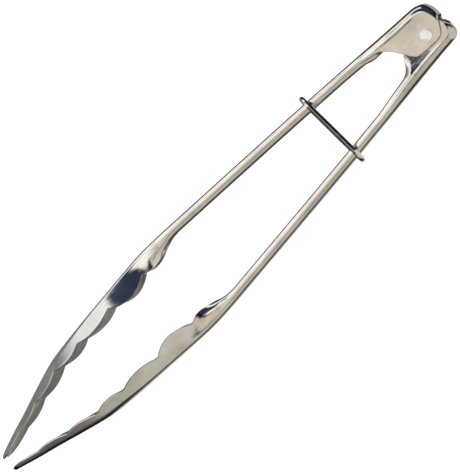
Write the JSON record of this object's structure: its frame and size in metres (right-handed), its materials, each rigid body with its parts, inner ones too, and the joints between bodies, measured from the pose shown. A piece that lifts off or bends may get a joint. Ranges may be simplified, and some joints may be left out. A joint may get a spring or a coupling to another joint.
{
  "type": "spring tongs",
  "caption": "Stainless steel spring tongs with channel-shaped arms, scalloped jaws, a riveted pivot and a sliding lock ring.",
  "frame": {"origin": "centre of the flat outer face of the lower rivet head", "axes": "+Z along the rivet, from the lower head to the upper one; +X from the rivet to the jaws' tips, along the line between the arms; +Y to the side of the inner arm"},
  "size_m": [0.3053, 0.0498, 0.0332],
  "materials": {
    "pressed_steel": "polished",
    "rivet_steel": "satin",
    "wire_steel": "polished"
  },
  "bodies": {
    "pivot": {"pivot_rivet": "rivet_steel", "torsion_spring": "wire_steel"},
    "outer_arm": {"outer_arm": "pressed_steel"},
    "inner_arm": {"inner_arm": "pressed_steel"},
    "slide_ring": {"slide_ring": "wire_steel"}
  },
  "joints": [
    {"name": "outer_arm_hinge", "type": "hinge", "parent": "pivot", "child": "outer_arm", "pos_m": [0, 0, 0.0092], "axis": [0, 0, -1], "range_deg": [-0.5, 7], "stiffness_Nm_per_rad": 1},
    {"name": "inner_arm_hinge", "type": "hinge", "parent": "pivot", "child": "inner_arm", "pos_m": [0, 0, 0.0092], "axis": [0, 0, 1], "range_deg": [-0.5, 7]},
    {"name": "ring_slide", "type": "slide", "parent": "pivot", "child": "slide_ring", "axis": [1, 0, 0], "range_m": [-0.0565, 0.0045]}
  ],
  "couplings": [
    {"joint": "inner_arm_hinge", "follows": "outer_arm_hinge", "ratio": 1},
    {"joint": "ring_slide", "follows": "outer_arm_hinge", "m_per_rad": -0.46}
  ]
}
